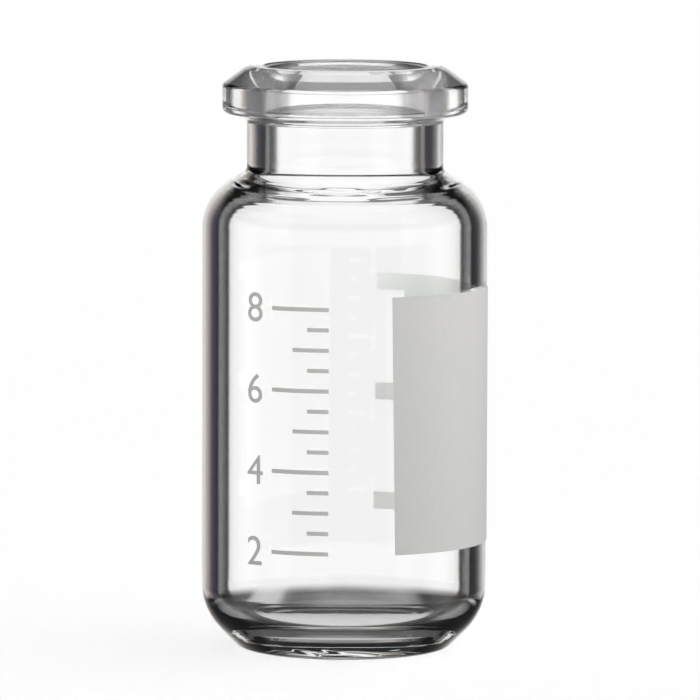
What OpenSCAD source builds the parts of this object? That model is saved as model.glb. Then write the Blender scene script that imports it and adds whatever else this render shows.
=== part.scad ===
// Crimp-top sample vial: a one-piece glass bottle with a fired enamel print.
// Millimetres. +Z points up, the origin is the centre of the ring that the vial stands on,
// and the front of the vial faces -Y.

/* [Body] */
// Outside diameter of the body
body_d = 22.5; // [22:0.1:24]
// Height from the table to the top of the sealing lip
height = 46.1; // [45:0.1:60]
// Thickness of the body wall
wall = 1.25; // [1:0.05:1.4]
// Thickness of the bottom, measured from the table
bottom = 1.95; // [1.6:0.05:2.4]

/* [Heel] */
// Width, and height, of the 45 degree bevel between the body and the foot
heel_bevel = 3; // [2.6:0.1:3.6]
// Outside radius where the body turns into the bevel
heel_r = 5; // [3:0.1:5.5]
// Outside radius where the bevel turns into the flat foot
foot_r = 1.1; // [0.6:0.1:1.6]
// Width of the slope inside, from the wall inwards
inner_heel_w = 2.6; // [2.6:0.1:3.2]
// Height of the slope inside, from the bottom upwards
inner_heel_h = 1.45; // [1.35:0.05:1.7]
// Inside radius between the wall and that slope
inner_heel_r = 2.6; // [1.5:0.1:2.6]
// Inside radius between that slope and the flat bottom
inner_base_r = 5.1; // [3:0.1:5.1]
// Diameter of the shallow hollow under the bottom
hollow_d = 14; // [10:0.5:14.5]
// Depth of the hollow under the bottom
hollow_h = 0.5; // [0.2:0.1:0.8]

/* [Shoulder] */
// Slope of the shoulder above the horizontal, in degrees
shoulder_slope = 28; // [28:1:34]
// Height of the sharp corner that the shoulder would make with the body
shoulder_z = 36; // [34.5:0.1:36]
// Outside radius between the body and the shoulder
shoulder_r = 4.6; // [3.5:0.1:4.6]
// Inside radius between the body and the shoulder
inner_shoulder_r = 3.3; // [2:0.1:3.4]
// Drop from the shoulder's outer sharp corner to its inner one
shoulder_drop = 0.8; // [0.6:0.05:1.4]

/* [Neck] */
// Outside diameter of the neck
neck_d = 15.5; // [15.2:0.1:15.8]
// Diameter of the bore through the neck
bore_d = 12.6; // [12.2:0.1:12.8]
// Fillet between the shoulder and the neck, outside
neck_fillet = 0.5; // [0.5:0.1:1]
// Radius between the shoulder and the bore, inside
inner_neck_r = 2.4; // [1.5:0.1:2.4]

/* [Crimp flange] */
// Outside diameter of the flange that a crimp cap closes under
flange_d = 19.4; // [19:0.1:20]
// Drop from the lip to the sharp corner above the flange's straight side
flange_top = 1.45; // [1.2:0.05:1.8]
// Drop from the lip to the sharp corner below the flange's straight side
flange_bottom = 3.65; // [3.4:0.05:4]
// Slope of the flange's underside, in degrees
underside_slope = 13; // [5:1:18]
// Radius of the flange's edges and of the corner under it
flange_r = 0.5; // [0.3:0.05:0.6]
// Diameter of the bevel's top edge, at the foot of the lip
bevel_d = 16; // [15.8:0.1:16.4]
// Outside diameter of the flat sealing lip
lip_d = 15; // [14.6:0.1:15.4]
// Height of the lip above the bevel
lip_h = 0.22; // [0.15:0.01:0.3]
// Radius of the lip's inner edge, at the mouth
mouth_r = 0.5; // [0.3:0.1:0.7]

/* [Print] */
// Thickness of the fired enamel
enamel = 0.05; // [0.03:0.01:0.08]
// Height of the writing patch's lower edge
patch_z = 8.6; // [7:0.1:11]
// Height of the writing patch from edge to edge
patch_h = 20.2; // [18:0.1:21]
// Angle from the front to the patch's front edge, in degrees
patch_front = 19; // [10:1:40]
// Angle from the front to the patch's rear edge, in degrees
patch_rear = 154; // [120:1:158]
// Number of fill marks at the patch's rear edge
mark_count = 3; // [2:1:4]
// Height of one fill mark
mark_h = 1.4; // [1:0.1:1.6]
// Angle that a fill mark runs on past the patch, in degrees
mark_sweep = 13; // [8:1:18]
// Drop from the patch's top edge to the middle of the top fill mark
mark_inset = 0.7; // [0.5:0.1:2]
// Rise from the patch's lower edge to the middle of the bottom fill mark
mark_foot = 1.8; // [1:0.1:3]

/* [Volume scale] */
// Largest volume on the scale, in millilitres
scale_max = 8; // [4:2:8]
// Small steps of the scale in each millilitre
scale_steps = 2; // [1:1:2]
// Height of one scale line
line_h = 0.36; // [0.2:0.01:0.5]
// Angle from the front to the end where all the lines start, in degrees
scale_start = -6; // [-30:1:0]
// Angle that the long lines reach, at even millilitres, in degrees
long_line = 24; // [20:1:28]
// Angle that the middle lines reach, at odd millilitres, in degrees
middle_line = 15; // [12:1:18]
// Angle that the short lines reach, between millilitres, in degrees
short_line = 9; // [6:1:11]

/* [Hidden] */
$fn = 180;
body_r = body_d / 2;
inner_r = body_r - wall;
bore_r = bore_d / 2;
// Height where the shoulder's straight slope would meet the neck, outside
neck_z = shoulder_z + (body_r - neck_d / 2) * tan(shoulder_slope);
// Height of the inner shoulder's sharp corner at the wall, and of its corner at the bore
inner_shoulder_z = shoulder_z - shoulder_drop;
inner_neck_z = inner_shoulder_z + (inner_r - bore_r) * tan(shoulder_slope);
// Height where the flange's underside meets the neck
underside_z = height - flange_bottom - (flange_d - neck_d) / 2 * tan(underside_slope);
// Radius of the sphere that hollows the bottom, from its depth and its width
hollow_r = (pow(hollow_d / 2, 2) + pow(hollow_h, 2)) / (2 * hollow_h);
// Radius of the lip's outer edge
lip_r = 0.2;
// How far the shape that rounds a corner runs on past the corner
sliver_reach = 0.3;
// Turn from the flat bottom to the slope inside, in degrees
slope_turn = atan(inner_heel_h / inner_heel_w);
// Area that rounding a corner takes from a section, from the arc's radius and the corner's turn
function rounding(r, turn) = pow(r, 2) * (tan(turn / 2) - turn * PI / 360);
// Millilitres that the slope and its two rounded ends take from the space inside, each section's
// area times the way round at its radius, and the rise of the liquid for each millilitre
heel_loss = 2 * PI * (inner_heel_w * inner_heel_h / 2 * (inner_r - inner_heel_w / 3)
    + rounding(inner_heel_r, 90 - slope_turn) * inner_r
    + rounding(inner_base_r, slope_turn) * (inner_r - inner_heel_w)) / 1000;
rise_per_ml = 1000 / (PI * pow(inner_r, 2));

// Half of the vial's outside, walked from the middle of the foot up to the middle of the mouth.
// Each corner is [distance from the axis, height, radius that it is rounded to].
outer_corners = [
    [0, 0, 0],
    [body_r - heel_bevel, 0, foot_r],
    [body_r, heel_bevel, heel_r],
    [body_r, shoulder_z, shoulder_r],
    [neck_d / 2, neck_z, neck_fillet],
    [neck_d / 2, underside_z, flange_r],
    [flange_d / 2, height - flange_bottom, flange_r],
    [flange_d / 2, height - flange_top, flange_r],
    [bevel_d / 2, height - lip_h, 0],
    [lip_d / 2, height, lip_r],
    [0, height, 0]
];
// Half of the space inside, from the middle of the bottom up past the mouth
cavity_corners = [
    [0, bottom, 0],
    [inner_r - inner_heel_w, bottom, inner_base_r],
    [inner_r, bottom + inner_heel_h, inner_heel_r],
    [inner_r, inner_shoulder_z, inner_shoulder_r],
    [bore_r, inner_neck_z, inner_neck_r],
    [bore_r, height + 1, 0],
    [0, height + 1, 0]
];

function unit(v) = v / norm(v);
// Angle between the two straight edges that meet at corner b, and true where the outline turns
// left there, which is an outer corner of an outline walked anticlockwise
function corner_angle(a, b, c) = acos(unit(a - b) * unit(c - b));
function turns_left(a, b, c) = cross(b - a, c - b) > 0;
// The two straight edges at corner b, as the points [before, b, after]
function at_corner(points, i) =
    let (n = len(points), p = [for (k = [-1:1]) points[(i + k + n) % n]])
    [for (q = p) [q[0], q[1]]];

// What lies between corner b and the circle of radius r that touches both of its edges. The shape
// runs on a little past the corner, so that it truly crosses the outline that it rounds.
module corner_sliver(a, b, c, r) {
    half = corner_angle(a, b, c) / 2;
    to_a = unit(a - b);
    to_c = unit(c - b);
    inward = unit(to_a + to_c);
    difference() {
        polygon([b - inward * sliver_reach, b + to_a * r / tan(half), b + to_c * r / tan(half)]);
        translate(b + inward * r / sin(half)) circle(r);
    }
}

// All slivers of an outline: those of its outer corners, or those of its inner corners
module slivers(corners, outer) {
    for (i = [0:len(corners) - 1]) {
        p = at_corner(corners, i);
        if (corners[i][2] > 0 && turns_left(p[0], p[1], p[2]) == outer)
            corner_sliver(p[0], p[1], p[2], corners[i][2]);
    }
}

// An outline with straight edges whose corners are rounded by true arcs
module rounded_outline(corners) {
    difference() {
        union() {
            polygon([for (c = corners) [c[0], c[1]]]);
            slivers(corners, false);
        }
        slivers(corners, true);
    }
}

// The bottle: one turned section, with a rounded mouth and a shallow hollow under its foot
module glass_vial() {
    mouth = [bore_r, height];
    color([0.85, 0.92, 0.92, 0.45])
        rotate_extrude() difference() {
            rounded_outline(outer_corners);
            rounded_outline(cavity_corners);
            corner_sliver(mouth + [1, 0], mouth, mouth - [0, 1], mouth_r);
            translate([0, hollow_h - hollow_r]) circle(hollow_r, $fn = 720);
        }
}

// A field of enamel on the body, between two heights and two angles from the front
module printed_field(z, h, from, to) {
    color("whitesmoke")
        rotate([0, 0, from - 90])
            rotate_extrude(angle = to - from) translate([body_r, z]) square([enamel, h]);
}

// The matt field for writing on, from the front right round to the back
module writing_patch() {
    printed_field(patch_z, patch_h, patch_front, patch_rear);
}

// Short bars that run on from the patch's rear edge, one above another
module fill_marks() {
    low = patch_z + mark_foot;
    high = patch_z + patch_h - mark_inset;
    for (i = [0:mark_count - 1])
        printed_field(low + (high - low) * i / (mark_count - 1) - mark_h / 2, mark_h,
            patch_rear, patch_rear + mark_sweep);
}

// Height of the liquid in the vial for a volume in millilitres
function level(ml) = bottom + (ml + heel_loss) * rise_per_ml;
// Angle that the line for step i reaches: long at even, middle at odd and short at part millilitres
function line_sweep(i) =
    i % scale_steps > 0 ? short_line : (i / scale_steps) % 2 > 0 ? middle_line : long_line;

// The graduation at the front left: all its lines start at one angle and run to the left
module volume_scale() {
    for (i = [2 * scale_steps:scale_max * scale_steps])
        printed_field(level(i / scale_steps) - line_h / 2, line_h,
            scale_start - line_sweep(i), scale_start);
}

glass_vial();
writing_patch();
fill_marks();
volume_scale();
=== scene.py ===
"""Crimp-top sample vial: one piece of clear borosilicate glass with a fired white enamel print."""
import math

import bmesh
import bpy
import numpy as np
from mathutils import Matrix, Vector


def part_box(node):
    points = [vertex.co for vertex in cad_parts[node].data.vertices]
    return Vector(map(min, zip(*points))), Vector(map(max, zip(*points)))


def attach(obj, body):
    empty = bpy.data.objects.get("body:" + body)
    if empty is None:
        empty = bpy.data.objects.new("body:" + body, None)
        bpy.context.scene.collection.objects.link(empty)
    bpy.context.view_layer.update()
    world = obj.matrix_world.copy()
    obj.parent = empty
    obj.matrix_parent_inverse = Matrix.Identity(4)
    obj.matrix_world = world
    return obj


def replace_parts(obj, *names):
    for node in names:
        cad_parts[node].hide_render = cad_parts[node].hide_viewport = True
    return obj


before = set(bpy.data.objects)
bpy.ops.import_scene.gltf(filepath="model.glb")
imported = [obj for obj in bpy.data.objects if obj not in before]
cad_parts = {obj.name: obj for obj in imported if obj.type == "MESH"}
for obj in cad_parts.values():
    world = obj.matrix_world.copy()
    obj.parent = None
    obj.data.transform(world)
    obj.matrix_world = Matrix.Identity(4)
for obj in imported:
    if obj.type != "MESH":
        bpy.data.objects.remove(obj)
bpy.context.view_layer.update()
MM = 0.001
PER_METRE = 1000.0  # turns a shader's metres into millimetres
DEG = 180 / math.pi  # turns a shader's radians into degrees

# ---------------------------------------------------------------- the glass's sizes, in millimetres
vial_low, vial_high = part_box("glass_vial")
BODY_R = (vial_high[0] - vial_low[0]) / 2 / MM
HEIGHT = vial_high[2] / MM
WALL = 1.25
INNER_R = BODY_R - WALL
BOTTOM = 1.95  # thickness of the bottom, measured from the table
HEEL_BEVEL = 3.0  # width, and height, of the bevel between the body and the foot
HOLLOW_R = 7.0  # the shallow hollow under the foot
HOLLOW_H = 0.5
INNER_HEEL_W = 2.6  # the slope inside, between the bottom and the wall
INNER_HEEL_H = 1.45
SHOULDER_Z = 36.0  # the sharp corner that the shoulder would make with the body
SHOULDER_DROP = 0.8  # from that corner down to the inner one
SHOULDER_SLOPE = math.tan(math.radians(28))
NECK_R = 7.75
BORE_R = 6.3
FLANGE_R = 9.7
FLANGE_TOP = HEIGHT - 1.45  # the ends of the flange's straight side
FLANGE_BOTTOM = HEIGHT - 3.65
UNDERSIDE_SLOPE = math.tan(math.radians(13))
BEVEL_TOP_R = 8.0  # top edge of the bevel, at the foot of the lip
LIP_R = 7.5
LIP_H = 0.22

# Radii that the corners of the glass are rounded to, from the foot up the outside and down the inside
FOOT_ARC = 1.1
HEEL_ARC = 5.0
SHOULDER_ARC = 4.6
NECK_ARC = 0.5
UNDER_ARC = 0.5
EDGE_ARC = 0.5
BEVEL_ARC = 0.3
LIP_ARC = 0.2
MOUTH_ARC = 0.5
INNER_NECK_ARC = 2.4
INNER_SHOULDER_ARC = 3.3
INNER_HEEL_ARC = 2.6
INNER_BASE_ARC = 5.1

# How finely the glass is cut
TURNS = 256  # facets round the glass
DOME_POINTS = 16  # points from the middle of the hollow to its rim
ARC_STEP = 6.0  # degrees of an arc to each facet
ARC_POINTS = 4  # the fewest points on an arc
COARSE = 0.8  # longest step along the section, outside and on upright walls
FINE = 0.15  # longest step inside, where the glass ripples
UPRIGHT = 0.01  # an edge that drifts less than this is upright
SAME = 1e-5  # points nearer than this are one

# The slight unevenness inside. The shoulder's waves run round it, and the bottom's lie crosswise.
SHOULDER_WAVE = 0.9
SHOULDER_WAVE_H = 0.008
SHOULDER_WAVE_R = (6.6, 7.2, 8.4, 9.2)  # the waves rise from the first radius and fade to the last
SHOULDER_NEAR = 0.5  # points within this height of the inner shoulder are on it
SHOULDER_BENDS = ((1.5, 3, 0.5), (0.9, 7, 0.0))  # size, times round and start of each slow bend
SECOND_WAVE = 0.6  # share and pace of a second, shorter wave
SECOND_PACE = 1.7
BASE_WAVE = 3.4
BASE_WAVE_H = 0.004
BASE_WAVE_R = (0, 5.5, 6.8)  # full up to the middle radius, and none at the last
BASE_NEAR = 0.3
BASE_BEND = 0.6
BASE_PACE = 1.7

# ---------------------------------------------------------------- the print's sizes
# Millimetres, and degrees from the front towards +X
patch_low, patch_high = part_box("writing_patch")
scale_low, scale_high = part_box("volume_scale")
marks_low, marks_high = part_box("fill_marks")
ENAMEL_IN = BODY_R + 0.004
ENAMEL_OUT = BODY_R + 0.05
PATCH_BOTTOM = patch_low[2] / MM
PATCH_TOP = patch_high[2] / MM
PATCH_FRONT = 19.0
PATCH_REAR = 154.0
PATCH_INSET = 0.2  # degrees that the ragged ends keep inside the CAD's edges
PATCH_COLS = 91
PATCH_ROWS = 241
PATCH_SEEDS = (0.4, 2.0, 0.9)  # where the teeth start: front edge, rear edge, top and bottom
PATCH_RIM = 0.4  # share of the teeth's reach that the top and bottom edges have
LEAN = 0.08  # degrees that the patch's ends turn for each millimetre of height
MARK_COUNT = 3
MARK_H = 1.4
MARK_SWEEP = 13.0
MARK_GAP = 0.03  # degrees between the patch and a fill mark
MARK_ROWS = 41
MARKS = (marks_low[2] / MM + MARK_H / 2, marks_high[2] / MM - MARK_H / 2)
LINE_H = 0.36
LINE_ROWS = 9
SCALE_START = -6.0
SCALE_INSET = 0.15  # degrees
SWEEPS = (24.0, 15.0, 9.0)  # of the lines at even, at odd and at part millilitres
LINES = 13
LEVELS = np.linspace(scale_low[2] / MM + LINE_H / 2, scale_high[2] / MM - LINE_H / 2, LINES)
LINE_SEED = 0.7
BAR_INSET = 0.02
BAR_COLS = 20
TOOTH = 0.27  # period of the teeth that the printing mesh leaves on an edge
TOOTH_REACH = 0.07
TEETH = ((0.6, 1.0, 1.0), (0.4, 1.83, 2.1))  # share, pace and part of the seed of the two waves
BAR_TOOTH = 1.7  # how much longer the teeth along a bar are, and what share of the reach they have
BAR_REACH = 0.5
FIGURES = "2468"
FIGURE_H = 2.3
FIGURE_ANGLE = -38.0
FIGURE_SHARE = 0.7  # height of a figure in the built-in lettering, for a size of 1
FIGURE_STRIP = 0.12  # width of the strips that a figure is cut into, so that it bends
FIGURE_DEPTH = 0.5  # only tells the inner face from the outer one
FIGURE_CURVE = 6
FIGURE_WELD = 1e-4


# ---------------------------------------------------------------- small helpers
def linear(hex_colour):
    """An sRGB colour such as '#d8dad9' as the linear numbers that shaders take."""
    parts = [int(hex_colour[i:i + 2], 16) / 255 for i in (1, 3, 5)]
    return [c / 12.92 if c <= 0.04045 else ((c + 0.055) / 1.055) ** 2.4 for c in parts] + [1.0]


def add(tree, kind, inputs=(), **settings):
    """Adds a node and returns its outputs. The inputs are sockets to link or plain values, in their
    order or in a dict by name or number. The settings are the node's attributes."""
    made = tree.nodes.new("ShaderNode" + kind)
    for name, value in settings.items():
        setattr(made, name, value)
    pairs = inputs.items() if isinstance(inputs, dict) else enumerate(inputs)
    for which, value in pairs:
        if isinstance(value, bpy.types.NodeSocket):
            tree.links.new(value, made.inputs[which])
        else:
            made.inputs[which].default_value = value
    return made.outputs


def graph(tree, value, stops):
    """The level or colour that belongs to a value, by (value, level) stops joined with straight lines."""
    low, high = stops[0][0], stops[-1][0]
    along = add(tree, "MapRange", (value, low, high))[0]
    shown = add(tree, "ValToRGB", (along,))[0]
    ramp = shown.node.color_ramp
    ramp.elements.remove(ramp.elements[-1])
    for i, (where, level) in enumerate(stops):
        stop = ramp.elements[0] if i == 0 else ramp.elements.new((where - low) / (high - low))
        stop.position = (where - low) / (high - low)
        stop.color = linear(level) if isinstance(level, str) else (level, level, level, 1)
    return shown


def surface(name, points, faces, smooth=True):
    """A mesh object at the origin from an array of points in millimetres and lists of corners."""
    mesh = bpy.data.meshes.new(name)
    mesh.from_pydata((np.asarray(points) * MM).tolist(), [], [list(f) for f in faces])
    mesh.polygons.foreach_set("use_smooth", [smooth] * len(mesh.polygons))
    mesh.update()
    made = bpy.data.objects.new(name, mesh)
    bpy.context.scene.collection.objects.link(made)
    return made


# ---------------------------------------------------------------- the glass
def rounded(corners):
    """A walk along straight edges whose corners are arcs. Each corner is (r, z, arc radius); the arc
    touches both edges, so it starts radius / tan(half the corner's angle) before the corner."""
    walk = []
    for i, (r, z, arc) in enumerate(corners):
        here = np.array([r, z])
        if arc == 0 or i in (0, len(corners) - 1):
            walk.append(here[None])
            continue
        back = np.array(corners[i - 1][:2]) - here
        on = np.array(corners[i + 1][:2]) - here
        back, on = back / np.hypot(*back), on / np.hypot(*on)
        half = math.acos(np.clip(back @ on, -1, 1)) / 2
        centre = here + (back + on) / np.hypot(*(back + on)) * arc / math.sin(half)
        first, last = here + back * arc / math.tan(half), here + on * arc / math.tan(half)
        start = math.atan2(*(first - centre)[::-1])
        turn = (math.atan2(*(last - centre)[::-1]) - start + math.pi) % (2 * math.pi) - math.pi
        count = max(ARC_POINTS, int(abs(math.degrees(turn)) / ARC_STEP) + 1)
        angles = start + turn * np.linspace(0, 1, count)
        walk.append(centre + arc * np.stack([np.cos(angles), np.sin(angles)], 1))
    return np.concatenate(walk)


def spaced(walk, longest):
    """The walk with its long straight edges cut into pieces of at most the given length. An upright
    edge makes an even cylinder, so it is cut coarsely."""
    out = [walk[:1]]
    for a, b in zip(walk[:-1], walk[1:]):
        upright = abs(a[0] - b[0]) < UPRIGHT
        cuts = max(1, math.ceil(np.hypot(*(b - a)) / (COARSE if upright else longest)))
        out.append(a + (b - a) * np.linspace(0, 1, cuts + 1)[1:, None])
    walk = np.concatenate(out)
    keep = np.r_[True, np.hypot(*np.diff(walk, axis=0).T) > SAME]
    return walk[keep]


def rippled(points):
    """The glass inside is not quite even. Round the inner shoulder the height swings by h (sin(w + bend)
    + a smaller, shorter wave), where w turns once for each SHOULDER_WAVE of radius and the bend changes
    slowly with the angle. On the bottom it swings by b sin(u + sin y) sin(v + a slow sine of x), where
    u and v turn once for each BASE_WAVE of x and of y."""
    x, y, z = points.T
    r, a = np.hypot(x, y), np.arctan2(y, x)
    inner_z = SHOULDER_Z - SHOULDER_DROP + (INNER_R - r) * SHOULDER_SLOPE
    shoulder = np.interp(r, SHOULDER_WAVE_R, (0, 1, 1, 0)) * (abs(z - inner_z) < SHOULDER_NEAR)
    bend = sum(size * np.sin(times * a + start) for size, times, start in SHOULDER_BENDS)
    w = 2 * math.pi * r / SHOULDER_WAVE
    swing = np.sin(w + bend) + SECOND_WAVE * np.sin(w * SECOND_PACE - bend)
    base = np.interp(r, BASE_WAVE_R, (1, 1, 0)) * (abs(z - BOTTOM) < BASE_NEAR)
    u, v = 2 * math.pi * x / BASE_WAVE, 2 * math.pi * y / BASE_WAVE
    dent = np.sin(u + np.sin(y)) * np.sin(v + BASE_BEND * np.sin(BASE_PACE * x))
    return np.stack([x, y, z + SHOULDER_WAVE_H * shoulder * swing + BASE_WAVE_H * base * dent], 1)


def glass_section():
    """Half the section, from the middle of the hollow foot round the outside and down the inside. The
    hollow is part of a sphere of radius (R R + H H) / 2 H, for a rim of radius R and a depth of H."""
    neck_z = SHOULDER_Z + (BODY_R - NECK_R) * SHOULDER_SLOPE
    inner_z = SHOULDER_Z - SHOULDER_DROP
    dome = np.linspace(0, HOLLOW_R, DOME_POINTS)
    ball = (HOLLOW_R ** 2 + HOLLOW_H ** 2) / (2 * HOLLOW_H)
    hollow = np.stack([dome, HOLLOW_H - ball + np.sqrt(ball ** 2 - dome ** 2)], 1)
    rest = rounded([
        (HOLLOW_R, 0, 0),
        (BODY_R - HEEL_BEVEL, 0, FOOT_ARC),
        (BODY_R, HEEL_BEVEL, HEEL_ARC),
        (BODY_R, SHOULDER_Z, SHOULDER_ARC),
        (NECK_R, neck_z, NECK_ARC),
        (NECK_R, FLANGE_BOTTOM - (FLANGE_R - NECK_R) * UNDERSIDE_SLOPE, UNDER_ARC),
        (FLANGE_R, FLANGE_BOTTOM, EDGE_ARC),
        (FLANGE_R, FLANGE_TOP, EDGE_ARC),
        (BEVEL_TOP_R, HEIGHT - LIP_H, BEVEL_ARC),
        (LIP_R, HEIGHT, LIP_ARC),
        (BORE_R, HEIGHT, MOUTH_ARC),
        (BORE_R, inner_z + (INNER_R - BORE_R) * SHOULDER_SLOPE, INNER_NECK_ARC),
        (INNER_R, inner_z, INNER_SHOULDER_ARC),
        (INNER_R, BOTTOM + INNER_HEEL_H, INNER_HEEL_ARC),
        (INNER_R - INNER_HEEL_W, BOTTOM, INNER_BASE_ARC),
        (0, BOTTOM, 0),
    ])
    walk = np.concatenate([hollow, rest])
    top = int(walk[:, 1].argmax())
    return np.concatenate([spaced(walk[:top + 1], COARSE), spaced(walk[top:], FINE)[1:]])


def turned(name, section):
    """The section turned about Z, a corner at (r, z) going to (r cos a, r sin a, z) at each angle a.
    Its two ends lie on the axis and close as fans."""
    r, z = section[1:-1].T
    angle = np.arange(TURNS) * 2 * math.pi / TURNS
    rings = np.stack([np.outer(r, np.cos(angle)), np.outer(r, np.sin(angle)),
                      np.repeat(z[:, None], TURNS, 1)], -1).reshape(-1, 3)
    ends = np.array([[0, 0, section[0][1]], [0, 0, section[-1][1]]])
    row = np.arange(len(r) - 1)[:, None] * TURNS
    col = np.arange(TURNS)[None]
    after = (col + 1) % TURNS
    quads = np.stack([row + col, row + after, row + TURNS + after, row + TURNS + col], -1).reshape(-1, 4)
    first, last = len(rings), len(rings) + 1
    tail = (len(r) - 1) * TURNS
    fans = [(first, int(n), int(c)) for c, n in zip(col[0], after[0])]
    fans += [(last, tail + int(c), tail + int(n)) for c, n in zip(col[0], after[0])]
    return surface(name, rippled(np.concatenate([rings, ends])), quads.tolist() + fans)


# ---------------------------------------------------------------- materials
GLASS_IOR = 1.49
GLASS_TINT = "#fdfefd"
BORE_CLEAR = 0.93  # share of the light that passes where the glass was pressed by the tools
BEVEL_CLEAR = 0.85

# Painted shade of the glass inside: grey levels by how squarely it is seen, 0 edge on, 1 from straight
# ahead
BODY_SHADE = [(0, 0.6), (0.2, 0.5), (0.3, 0.25), (0.365, 0.07), (0.385, 0.08), (0.41, 0.5), (0.43, 1.0),
              (1.0, 1.0)]
NECK_SHADE = [(0, 0.6), (0.2, 0.35), (0.28, 0.3), (0.35, 0.06), (0.41, 0.05), (0.464, 0.13), (0.51, 0.41),
              (0.55, 0.92), (0.58, 1.0), (1.0, 1.0)]
FLANGE_SHADE = [(0, 0.6), (0.35, 0.45), (0.46, 0.38), (0.55, 0.38), (0.62, 0.5), (0.68, 0.6), (0.73, 0.95),
                (0.76, 1.0), (1.0, 1.0)]
# Where the bevel's painted shade shows: 0 at a slant, 1 square on
SQUARE_ON = [(0, 0.0), (0.5, 0.0), (0.6, 1.0), (1, 1.0)]

# Painted shade by height in millimetres: where the neck's takes over from the body's, and the bevel's strip
NECK_FROM = [(30, 0.0), (36.2, 0.0), (38.4, 1.0), (46, 1.0)]
BEVEL_PAINTED_SHADE = [(44.5, 0.33), (45.3, 0.33), (45.42, 0.8), (46, 0.8)]

# Fired enamel by height in millimetres: outside, with painted shade darker towards the bottom, and against
# the glass, where it shows only through the vial, much lighter, as painted light
COAT_PAINTED_SHADE = [(0, "#cccccb"), (9, "#cccccb"), (29, "#d6d5d3"), (40, "#d6d5d3")]
COAT_BACK_PAINTED_LIGHT = [(0, "#f8f8f7"), (40, "#f8f8f7")]
COAT_ROUGHNESS = 0.5
GRAIN = 0.35  # millimetres; real grains are finer, and wouldn't show
GRAIN_OCTAVES = 3.0
GRAIN_MIDDLE = 0.5
GRAIN_DEPTH = 0.08


def new_material(name):
    """An empty material and its node tree."""
    made = bpy.data.materials.new(name)
    made.use_nodes = True
    made.node_tree.nodes.clear()
    return made, made.node_tree


def height_of(tree):
    """The height of the shaded point above the table, in millimetres."""
    place = add(tree, "TexCoord")["Object"]
    return add(tree, "Math", (add(tree, "SeparateXYZ", (place,))[2], PER_METRE), operation="MULTIPLY")[0]


def squareness(tree):
    """1 where the surface is looked at from straight ahead, 0 where it is seen edge on."""
    facing = add(tree, "LayerWeight")["Facing"]
    return add(tree, "Math", (1.0, facing), operation="SUBTRACT")[0]


def borosilicate(name, clear, shade):
    """Borosilicate glass, blown and then polished by the flame, so it is smooth, very clear and only
    faintly green. A shade is painted shade: the grey level that the glass dims what shows through it to."""
    made, tree = new_material(name)
    colour = linear(GLASS_TINT)
    if shade:
        level = shade(tree)
        level = add(tree, "Math", (level, level), operation="MULTIPLY")[0]
        colour = add(tree, "CombineColor", (level, level, level))[0]
    glass = add(tree, "BsdfPrincipled", {
        "Base Color": colour, "Roughness": 0.0, "IOR": GLASS_IOR, "Transmission Weight": clear})
    add(tree, "OutputMaterial", (glass[0],))
    return made


def painted_edge_shade(lower, upper=None):
    """Painted shade for the glass inside, which is darker where it is seen at a slant. It follows one graph
    in the body and, if there is an upper one, that in the neck."""
    def shade(tree):
        square = squareness(tree)
        level = graph(tree, square, lower)
        if upper:
            above = graph(tree, height_of(tree), NECK_FROM)
            level = add(tree, "Mix", {0: above, 2: level, 3: graph(tree, square, upper)})[0]
        back = add(tree, "NewGeometry")["Backfacing"]
        return add(tree, "Mix", {0: back, 2: level, 3: 1.0})[0]
    return shade


def painted_bevel_shade(tree):
    """Painted shade for the bevel, where it is seen square on: darker low down and lighter above."""
    square = graph(tree, squareness(tree), SQUARE_ON)
    return add(tree, "Mix", {0: square, 2: 1.0, 3: graph(tree, height_of(tree), BEVEL_PAINTED_SHADE)})[0]


def enamel(name, coat):
    """Fired white enamel, screen printed: matt and finely grained, in a colour by height that is painted
    shade outside and painted light against the glass.
    """
    made, tree = new_material(name)
    place = add(tree, "TexCoord")["Object"]
    grain = add(tree, "TexNoise", {"Vector": place, "Scale": PER_METRE / GRAIN, "Detail": GRAIN_OCTAVES})[0]
    fleck = add(tree, "Math", (grain, GRAIN_MIDDLE), operation="SUBTRACT")[0]
    fleck = add(tree, "Math", (fleck, GRAIN_DEPTH, 1.0), operation="MULTIPLY_ADD")[0]
    colour = graph(tree, height_of(tree), coat)
    colour = add(tree, "VectorMath", {0: colour, "Scale": fleck}, operation="SCALE")[0]
    paint = add(tree, "BsdfPrincipled", {"Base Color": colour, "Roughness": COAT_ROUGHNESS})
    add(tree, "OutputMaterial", (paint[0],))
    return made


# ---------------------------------------------------------------- prints
def shell(angle, z):
    """A closed sheet of enamel round the body. Row by row, a corner at angle a (degrees from the
    front) and height z lies at (r sin a, -r cos a, z), once at each of the sheet's two radii."""
    rows, cols = angle.shape
    a = np.radians(angle)
    radii = (ENAMEL_IN, ENAMEL_OUT)
    layers = [np.stack([r * np.sin(a), -r * np.cos(a), z], -1).reshape(-1, 3) for r in radii]
    n = np.arange(rows * cols).reshape(rows, cols)
    quad = np.stack([n[:-1, :-1], n[:-1, 1:], n[1:, 1:], n[1:, :-1]], -1).reshape(-1, 4)
    rim = np.r_[n[0, :-1], n[:-1, -1], n[-1, :0:-1], n[:0:-1, 0]]
    after = np.roll(rim, -1)
    side = np.stack([rim, after, after + n.size, rim + n.size], -1)
    return np.concatenate(layers), np.concatenate([quad[:, ::-1], quad + n.size, side])


def joined(name, shells, coats):
    """One piece from several closed sheets. The second coat is for the faces against the glass."""
    points, faces, count = [], [], 0
    for p, f in shells:
        points.append(p)
        faces += (f + count).tolist()
        count += len(p)
    made = surface(name, np.concatenate(points), faces, smooth=False)
    for coat in coats:
        made.data.materials.append(coat)
    inward = [int(p.normal.x * p.center.x + p.normal.y * p.center.y < 0) for p in made.data.polygons]
    made.data.polygons.foreach_set("material_index", inward)
    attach(made, "root")
    return made


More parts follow.
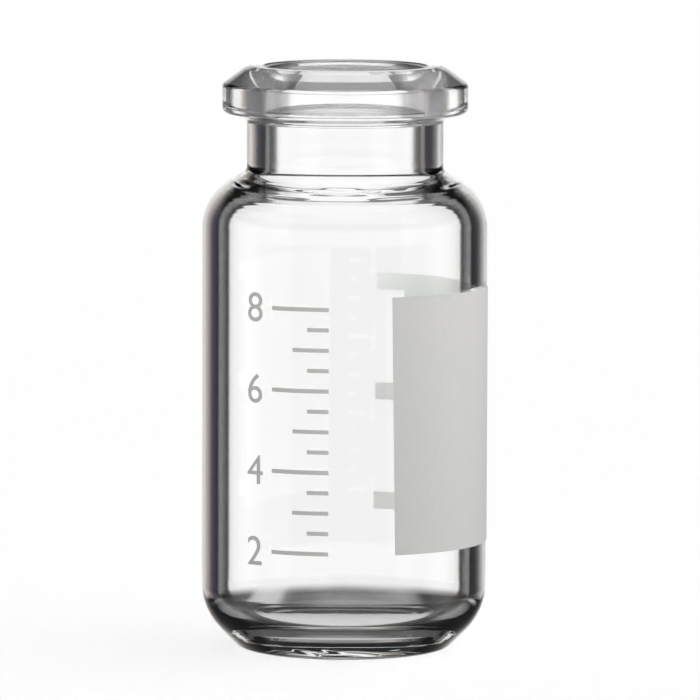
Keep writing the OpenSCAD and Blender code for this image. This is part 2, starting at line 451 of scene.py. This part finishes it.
def ragged(along, seed, reach=TOOTH_REACH, period=TOOTH):
    """The edge that a printing mesh leaves: a wave and one nearly twice as quick, whose sum makes teeth
    that come and go. It is how far the edge swings out, in millimetres."""
    turn = along / period * 2 * math.pi
    return reach * sum(share * np.sin(pace * turn + part * seed) for share, pace, part in TEETH) / 2


def ragged_angle(z, seed):
    """The same for an upright edge, in degrees round the body."""
    return np.degrees(ragged(z, seed) / BODY_R)


def sheet_grid(cols, rows):
    """Shares from 0 to 1 across and up a sheet, at each of its corners."""
    return np.meshgrid(np.linspace(0, 1, cols), np.linspace(0, 1, rows))


def bar(middle, height, start, end, rows, seed):
    """A printed bar with slightly ragged edges. Its start is a function that gives the angle at each
    height, and its end is an angle."""
    across, up = sheet_grid(BAR_COLS, rows)
    low, high = middle - height / 2 + BAR_INSET, middle + height / 2 - BAR_INSET
    z = low + (high - low) * up
    first = start(z)
    angle = first + (end + ragged_angle(z, seed + 1) - first) * across
    edge = ragged(np.radians(angle) * BODY_R, seed, TOOTH_REACH * BAR_REACH, TOOTH * BAR_TOOTH)
    return shell(angle, z + edge * (2 * up - 1))


def patch_rear(z):
    """The angle of the writing field's rear edge at each height."""
    return PATCH_REAR - PATCH_INSET - LEAN * (z - PATCH_BOTTOM) + ragged_angle(z, PATCH_SEEDS[1])


def marks_start(z):
    """The angle where the fill marks begin, just past that edge."""
    return patch_rear(z) + MARK_GAP


def writing_patch(coats):
    """The writing field. It leans: its front edge turns towards +X on the way down, and its rear edge
    towards the front on the way up, by LEAN degrees for each millimetre."""
    across, up = sheet_grid(PATCH_COLS, PATCH_ROWS)
    z = PATCH_BOTTOM + (PATCH_TOP - PATCH_BOTTOM) * up
    front = PATCH_FRONT + PATCH_INSET + LEAN * (PATCH_TOP - z) + ragged_angle(z, PATCH_SEEDS[0])
    angle = front + (patch_rear(z) - front) * across
    edge = ragged(np.radians(angle) * BODY_R, PATCH_SEEDS[2], TOOTH_REACH * PATCH_RIM)
    return joined("writing_field", [shell(angle, z - np.abs(edge) * (2 * up - 1))], coats)


def fill_marks(coats):
    """Three bars that run on from the writing field's rear edge."""
    bars = []
    for i, middle in enumerate(np.linspace(*MARKS, MARK_COUNT)):
        end = PATCH_REAR + MARK_SWEEP - PATCH_INSET - LEAN * (middle - MARKS[0])
        bars.append(bar(middle, MARK_H, marks_start, end, MARK_ROWS, i))
    return joined("fill_bars", bars, coats)


def volume_scale(coats):
    """The scale's lines: long at even, middle at odd and short at part millilitres."""
    bars = []
    for i, middle in enumerate(LEVELS):
        start = SCALE_START - SWEEPS[2 if i % 2 else (i // 2) % 2] + SCALE_INSET
        seed = LINE_SEED * i
        bars.append(bar(middle, LINE_H, lambda z: start + ragged_angle(z, seed), SCALE_START - SCALE_INSET,
                        LINE_ROWS, seed))
    return joined("scale_lines", bars, coats)


def figure(text, middle_angle, middle_z, height):
    """A number as a closed sheet wrapped on the body: the flat figure's x becomes an angle, x / r,
    its y a height and its depth a radius. It is cut into narrow strips first, so that it bends."""
    data = bpy.data.curves.new("figure", "FONT")
    data.body = text
    data.size = height / FIGURE_SHARE
    data.align_x, data.align_y = "CENTER", "CENTER"
    data.extrude = FIGURE_DEPTH
    data.resolution_u = FIGURE_CURVE
    flat = bpy.data.objects.new("figure", data)
    bpy.context.scene.collection.objects.link(flat)
    bpy.context.view_layer.update()
    mesh = bpy.data.meshes.new_from_object(flat.evaluated_get(bpy.context.evaluated_depsgraph_get()))
    bpy.data.objects.remove(flat)
    made = bmesh.new()
    made.from_mesh(mesh)
    bmesh.ops.remove_doubles(made, verts=made.verts, dist=FIGURE_WELD)
    for x in np.arange(-height, height, FIGURE_STRIP):
        bmesh.ops.bisect_plane(made, geom=made.verts[:] + made.edges[:] + made.faces[:], dist=SAME,
                               plane_co=(x, 0, 0), plane_no=(1, 0, 0))
    bmesh.ops.triangulate(made, faces=made.faces)
    made.verts.index_update()
    corners = np.array([v.co for v in made.verts])
    faces = np.array([[v.index for v in f.verts] for f in made.faces])
    made.free()
    x, y, depth = corners.T
    y = y - (y.max() + y.min()) / 2
    x = x - (x.max() + x.min()) / 2
    r = np.where(depth > 0, ENAMEL_OUT, ENAMEL_IN)
    a = math.radians(middle_angle) + x / BODY_R
    return np.stack([r * np.sin(a), -r * np.cos(a), middle_z + y], 1), faces


def scale_numbers(coats):
    """Figures at the long lines of the scale, which are every fourth line."""
    figures = [figure(text, FIGURE_ANGLE, LEVELS[4 * k], FIGURE_H) for k, text in enumerate(FIGURES)]
    return joined("scale_numbers", figures, coats)


# ---------------------------------------------------------------- the vial
# How far the edges of the glass's zones lie from the sizes that they follow
BORE_ZONE = 0.4
LIP_ZONE = 0.1
BEVEL_ZONE_R = 0.2
WALL_ZONE = 0.05
INWARD = -0.3  # a face inside turns at least this much towards the axis


def dress_glass(vial):
    """Materials of the glass by zone: all of it, then the inside, the flange's bore and the bevel, the last
    three with painted shade.
    """
    centres = np.array([p.center for p in vial.data.polygons]) / MM
    normals = np.array([p.normal for p in vial.data.polygons])
    r, z = np.hypot(centres[:, 0], centres[:, 1]), centres[:, 2]
    outward = (normals[:, :2] * centres[:, :2]).sum(1)
    zone = ((r < INNER_R + WALL_ZONE) & (outward < INWARD * r) & (z > BOTTOM)).astype(int)
    zone[(r < BORE_R + BORE_ZONE) & (z > FLANGE_BOTTOM - BORE_ZONE) & (z < HEIGHT - LIP_ZONE)] = 2
    zone[(r > LIP_R + BEVEL_ZONE_R) & (z > FLANGE_TOP + LIP_ZONE)] = 3
    for name, clear, shade in (
            ("borosilicate_glass", 1.0, None),
            ("borosilicate_glass_inside_painted_shade", 1.0, painted_edge_shade(BODY_SHADE, NECK_SHADE)),
            ("pressed_glass_bore_painted_shade", BORE_CLEAR, painted_edge_shade(FLANGE_SHADE)),
            ("pressed_glass_bevel_painted_shade", BEVEL_CLEAR, painted_bevel_shade)):
        vial.data.materials.append(borosilicate(name, clear, shade))
    vial.data.polygons.foreach_set("material_index", zone)


vial = turned("vial_glass", glass_section())
dress_glass(vial)
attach(vial, "root")
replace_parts(vial, "glass_vial")
white = (enamel("fired_white_enamel_painted_shade", COAT_PAINTED_SHADE), enamel("enamel_against_glass_painted_light", COAT_BACK_PAINTED_LIGHT))
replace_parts(writing_patch(white), "writing_patch")
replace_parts(fill_marks(white), "fill_marks")
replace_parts(volume_scale(white), "volume_scale")
scale_numbers(white)

# ---------------------------------------------------------------- floor, light and camera
# Clear glass shows the room round it. So the room is painted as levels over direction, in degrees, and
# the floor, where the glass shows it, as painted shade over its surface, in millimetres. The cards, the
# backdrop and the painted shade across the floor are the same in each quarter turn, so the vial looks much
# alike from all four sides. What lights the enamel and the floor is a plain sky.
QUARTER = 90.0
ON = 0.5  # a ray's count or flag above this means yes

# The floor as the camera sees it: the card's own grey, and how much it glows
FLOOR_REACH = 3000.0
FLOOR_Z = -0.01
CARD = 0.4
CARD_GLOW = 0.545

# The floor as the glass shows it is painted shade, which stands for the vial's shadow. In each quarter it
# has bands across, which fade to white with the distance ahead.
ACROSS = [(-14, 0.0), (-10.3, 0.0), (-9.4, 0.05), (-8.6, 0.5), (-7.5, 0.62), (-6.0, 0.55), (-5.2, 0.15),
          (-4.5, 0.09), (-3, 0.1), (-2, 0.17), (0, 0.19), (2.5, 0.18), (4, 0.24), (5.5, 0.28), (6.5, 0.2),
          (7.3, 0.04), (8, 0.0), (14, 0.0)]
AHEAD_FADE = [(0, 0.0), (20, 0.0), (22, 0.2), (24, 0.42), (26, 0.7), (28.5, 0.94), (30.5, 1.0), (50, 1.0)]
AHEAD_BEND = 0.35  # how far the fade comes nearer with the distance across
# Close to the vial the painted shade goes by the angle from +Y, beyond CLOSE_SIDE and within CLOSE_REACH
CLOSE = [(0, 0.3), (48, 0.3), (58, 0.05), (66, 0.0), (71, 0.02), (76, 0.12), (82, 0.22), (90, 0.28),
         (110, 0.3), (125, 0.05), (180, 0.03)]
CLOSE_REACH = [(0, 1.0), (14, 1.0), (17, 0.0), (50, 0.0)]
CLOSE_SIDE = [(0, 0.0), (42, 0.0), (55, 1.0), (180, 1.0)]
# Both begin outside the foot's hollow, under which is plain card
UNDER_LEVEL = 0.9
FOOT_EDGE = [(0, 0.0), (6.9, 0.0), (7.6, 1.0), (50, 1.0)]
# What the glass reflects on the way is a painted reflection instead: rings near the foot
FOOT_RINGS = [(0, 0.2), (5.2, 0.25), (5.9, 0.6), (6.4, 0.6), (6.9, 0.1), (9.7, 0.05)]
FOOT_RINGS_END = 9.7
# How far out the floor is seen through the glass, straight and by reflected light. Past it is the room.
SEEN = [(0, 1.0), (34, 1.0), (40, 0.0), (50, 0.0)]
SEEN_REFLECTED = [(0, 1.0), (18, 1.0), (22, 0.0), (50, 0.0)]

# The cards round the vial that its reflections show, by the angle in a quarter turn from +Y, and how
# much of them is left after several walls of glass
CARDS = [(0, "#ffffff"), (11, "#fdfdfc"), (14, "#d8d7d6"), (16, "#bcbab8"), (20, "#9c9b99"),
         (25, "#62605f"), (33, "#303032"), (45, "#323136"), (56, "#3e3948"), (60, "#5e5560"),
         (65, "#918783"), (70, "#ada49e"), (74, "#cac4bd"), (78, "#eee9e3"), (82, "#fdfdfd"),
         (90, "#ffffff")]
CARDS_DEEP = 0.15
DEEP = 2.5  # a ray that passed more surfaces than this is deep in the glass
# The room in front of the vial: where it takes over, by how far the direction points to +Y, and its
# level by elevation
FRONT = [(-0.5, 1.0), (-0.1, 0.0), (1.0, 0.0)]
FRONT_LEVEL = [(-90, 0.5), (-14, 0.8), (-9, 0.8), (-7.5, 0.08), (-4.8, 0.08), (-3.5, 0.8), (11, 0.8),
               (14, 0.08), (90, 0.08)]
# Both by elevation: how much of the cards and the front shows, and what the ceiling adds
WINDOW = [(-50, 0.0), (-35, 0.5), (-20, 0.9), (-10, 1.0), (12, 1.0), (16, 0.3), (18, 0.0)]
CEILING = [(-90, 0.3), (-60, 0.3), (-52, 0.3), (-48, 0.1), (-30, 0.1), (-12, 0.02), (-8, 0.0),
           (18, 0.005), (46, 0.02), (53, 1.0), (90, 1.0)]

# What shows straight through the glass: by the angle from the nearest side, and dimmer high up
BACKDROP = [(0, 1.035), (2.55, 1.035), (2.8, 1.075), (12, 1.075), (13, 1.0), (90, 1.0)]
HIGH_UP = [(26, 0.0), (36, 1.0)]
HIGH_LEVEL = 0.8

# The plain sky: its level, what +Y and +X add to it, and how much light through the glass is lifted by
# elevation, which makes up for what is lost on its way through the walls
PLAIN = 1.15
PLAIN_REAR = 0.15
PLAIN_RIGHT = 0.8
LIFT = [(-90, 9.5), (15, 9.5), (35, 1.2), (90, 0.5)]

# The camera: a long lens, a little above the vial's middle
CAMERA_AWAY = 620.0
CAMERA_RISE = math.radians(5.94)
CAMERA_ROLL = math.radians(0.2)
CAMERA_AIM = Vector((0.436, 0, 23.58)) * MM
CAMERA_FILM = 36.0
CAMERA_VIEW = 55.2923  # width of the picture at the vial
CAMERA_REACH = (0.01, 10)  # metres


def from_rear(tree, x, y):
    """The angle of a point or a direction from +Y, towards +X, in degrees."""
    turn = add(tree, "Math", (x, y), operation="ARCTAN2")[0]
    return add(tree, "Math", (turn, DEG), operation="MULTIPLY")[0]


def painted_floor_shade(tree, place, path):
    """Painted shade and painted reflections on the floor, which only the glass shows: its levels as the
    glass shows them, and clear where the glass shows the room instead.
    """
    x, y, z = add(tree, "SeparateXYZ", (place,))
    length = add(tree, "VectorMath", (place,), operation="LENGTH")["Value"]
    away = add(tree, "Math", (length, PER_METRE), operation="MULTIPLY")[0]
    angle = from_rear(tree, x, y)
    beside = add(tree, "Math", (angle,), operation="ABSOLUTE")[0]
    # Distances across and ahead, in the quarter that the point lies in. Four more quarters keep the
    # angle above nought, and a half one puts each quarter's middle straight ahead.
    turn = add(tree, "Math", (angle, 4.5 * QUARTER), operation="ADD")[0]
    turn = add(tree, "Math", (turn, QUARTER), operation="MODULO")[0]
    turn = add(tree, "Math", (turn, QUARTER / 2), operation="SUBTRACT")[0]
    turn = add(tree, "Math", (turn,), operation="RADIANS")[0]
    sine = add(tree, "Math", (turn,), operation="SINE")[0]
    cosine = add(tree, "Math", (turn,), operation="COSINE")[0]
    across = add(tree, "Math", (away, sine), operation="MULTIPLY")[0]
    ahead = add(tree, "Math", (away, cosine), operation="MULTIPLY")[0]
    swerve = add(tree, "Math", (across,), operation="ABSOLUTE")[0]
    ahead = add(tree, "Math", (swerve, AHEAD_BEND, ahead), operation="MULTIPLY_ADD")[0]
    level = add(tree, "Mix", {0: graph(tree, ahead, AHEAD_FADE), 2: graph(tree, across, ACROSS), 3: 1.0})[0]
    close = (graph(tree, away, CLOSE_REACH), graph(tree, beside, CLOSE_SIDE))
    close = add(tree, "Math", close, operation="MULTIPLY")[0]
    level = add(tree, "Mix", {0: close, 2: level, 3: graph(tree, beside, CLOSE)})[0]
    level = add(tree, "Mix", {0: graph(tree, away, FOOT_EDGE), 2: UNDER_LEVEL, 3: level})[0]
    reflected = add(tree, "Math", (path["Glossy Depth"], ON), operation="GREATER_THAN")[0]
    rings = add(tree, "Math", (away, FOOT_RINGS_END), operation="LESS_THAN")[0]
    rings = add(tree, "Math", (rings, reflected), operation="MULTIPLY")[0]
    level = add(tree, "Mix", {0: rings, 2: level, 3: graph(tree, away, FOOT_RINGS)})[0]
    seen = {0: reflected, 2: graph(tree, away, SEEN), 3: graph(tree, away, SEEN_REFLECTED)}
    seen = add(tree, "Mix", seen)[0]
    clear = add(tree, "BsdfTransparent")[0]
    painted = add(tree, "Emission", {"Strength": level})[0]
    return add(tree, "MixShader", (seen, clear, painted))[0]


def floor():
    """White card that keeps the vial's soft shadow and glows a little towards the camera. Through the
    glass, near the vial, it shows painted shade instead.
    """
    corners = [(-1, -1), (1, -1), (1, 1), (-1, 1)]
    points = [(FLOOR_REACH * x, FLOOR_REACH * y, FLOOR_Z) for x, y in corners]
    made = surface("floor", points, [(0, 1, 2, 3)])
    mat, tree = new_material("white_card")
    path = add(tree, "LightPath")
    glow = add(tree, "Math", (path["Is Camera Ray"], CARD_GLOW), operation="MULTIPLY")[0]
    glow = add(tree, "Emission", {"Strength": glow})[0]
    card = add(tree, "BsdfDiffuse", {"Color": (CARD, CARD, CARD, 1)})[0]
    card = add(tree, "AddShader", (card, glow))[0]
    painted = painted_floor_shade(tree, add(tree, "TexCoord")["Object"], path)
    past_glass = add(tree, "Math", (path["Transmission Depth"], ON), operation="GREATER_THAN")[0]
    not_light = add(tree, "Math", (path["Diffuse Depth"], ON), operation="LESS_THAN")[0]
    glassy = add(tree, "Math", (past_glass, not_light), operation="MULTIPLY")[0]
    both = add(tree, "MixShader", (glassy, card, painted))[0]
    add(tree, "OutputMaterial", (both,))
    made.data.materials.append(mat)
    made.visible_glossy = False


def reflected_room(tree, path, x, y, turn, rise):
    """The colour of the room where the glass reflects it: cards round the vial, the front, a ceiling."""
    deep = add(tree, "Math", (path["Transmission Depth"], DEEP), operation="GREATER_THAN")[0]
    share = add(tree, "Mix", {0: deep, 2: 1.0, 3: CARDS_DEEP})[0]
    cards = add(tree, "VectorMath", {0: graph(tree, turn, CARDS), "Scale": share}, operation="SCALE")[0]
    sides = {0: graph(tree, y, FRONT), 6: cards, 7: graph(tree, rise, FRONT_LEVEL)}
    sides = add(tree, "Mix", sides, data_type="RGBA")[2]
    sides = {0: sides, "Scale": graph(tree, rise, WINDOW)}
    sides = add(tree, "VectorMath", sides, operation="SCALE")[0]
    return add(tree, "VectorMath", (sides, graph(tree, rise, CEILING)), operation="ADD")[0]


def studio():
    """A white room: plain to the camera, a backdrop through the glass, cards in its reflections, and a
    plain sky for the light."""
    world = bpy.data.worlds.new("studio")
    bpy.context.scene.world = world
    world.use_nodes = True
    tree = world.node_tree
    tree.nodes.clear()
    path = add(tree, "LightPath")
    x, y, z = add(tree, "SeparateXYZ", (add(tree, "TexCoord")["Generated"],))
    # The angle in its quarter turn. Four more quarters keep it above nought.
    turn = add(tree, "Math", (from_rear(tree, x, y), 4 * QUARTER), operation="ADD")[0]
    turn = add(tree, "Math", (turn, QUARTER), operation="MODULO")[0]
    rise = add(tree, "Math", (z,), operation="ARCSINE")[0]
    rise = add(tree, "Math", (rise, DEG), operation="MULTIPLY")[0]
    back = add(tree, "Math", (turn, QUARTER), operation="SUBTRACT")[0]
    back = add(tree, "Math", (back,), operation="ABSOLUTE")[0]
    beside = add(tree, "Math", (turn, back), operation="MINIMUM")[0]
    backdrop = {0: graph(tree, rise, HIGH_UP), 2: graph(tree, beside, BACKDROP), 3: HIGH_LEVEL}
    backdrop = add(tree, "Mix", backdrop)[0]
    plain = add(tree, "Math", (y, PLAIN_REAR, PLAIN), operation="MULTIPLY_ADD")[0]
    plain = add(tree, "Math", (x, PLAIN_RIGHT, plain), operation="MULTIPLY_ADD")[0]
    lift = (path["Is Transmission Ray"], graph(tree, rise, LIFT), 1.0)
    lift = add(tree, "Math", lift, operation="MULTIPLY_ADD")[0]
    plain = add(tree, "Math", (plain, lift), operation="MULTIPLY")[0]
    light = add(tree, "Math", (path["Diffuse Depth"], path["Is Diffuse Ray"]), operation="ADD")[0]
    light = add(tree, "Math", (light, ON), operation="GREATER_THAN")[0]
    level = add(tree, "Mix", {0: light, 2: backdrop, 3: plain})[0]
    level = add(tree, "Mix", {0: path["Is Camera Ray"], 2: level, 3: 1.0})[0]
    sky = add(tree, "Background", {"Color": (1, 1, 1, 1), "Strength": level})[0]
    room = add(tree, "Background", {"Color": reflected_room(tree, path, x, y, turn, rise)})[0]
    reflected = add(tree, "Math", (path["Glossy Depth"], ON), operation="GREATER_THAN")[0]
    not_light = add(tree, "Math", (1.0, light), operation="SUBTRACT")[0]
    reflected = add(tree, "Math", (reflected, not_light), operation="MULTIPLY")[0]
    both = add(tree, "MixShader", (reflected, sky, room))[0]
    add(tree, "OutputWorld", (both,))


def camera():
    """A long lens that looks slightly down at the vial."""
    data = bpy.data.cameras.new("camera")
    made = bpy.data.objects.new("camera", data)
    bpy.context.scene.collection.objects.link(made)
    back = Vector((0, -math.cos(CAMERA_RISE), math.sin(CAMERA_RISE)))
    place = CAMERA_AIM + back * CAMERA_AWAY * MM
    turn = (-back).to_track_quat("-Z", "Y").to_matrix().to_4x4()
    made.matrix_world = Matrix.Translation(place) @ turn @ Matrix.Rotation(CAMERA_ROLL, 4, "Z")
    data.sensor_width = CAMERA_FILM
    data.lens = CAMERA_FILM * CAMERA_AWAY / CAMERA_VIEW
    data.clip_start, data.clip_end = CAMERA_REACH
    bpy.context.scene.camera = made


floor()
studio()
camera()
bpy.context.scene.view_settings.view_transform = "Standard"
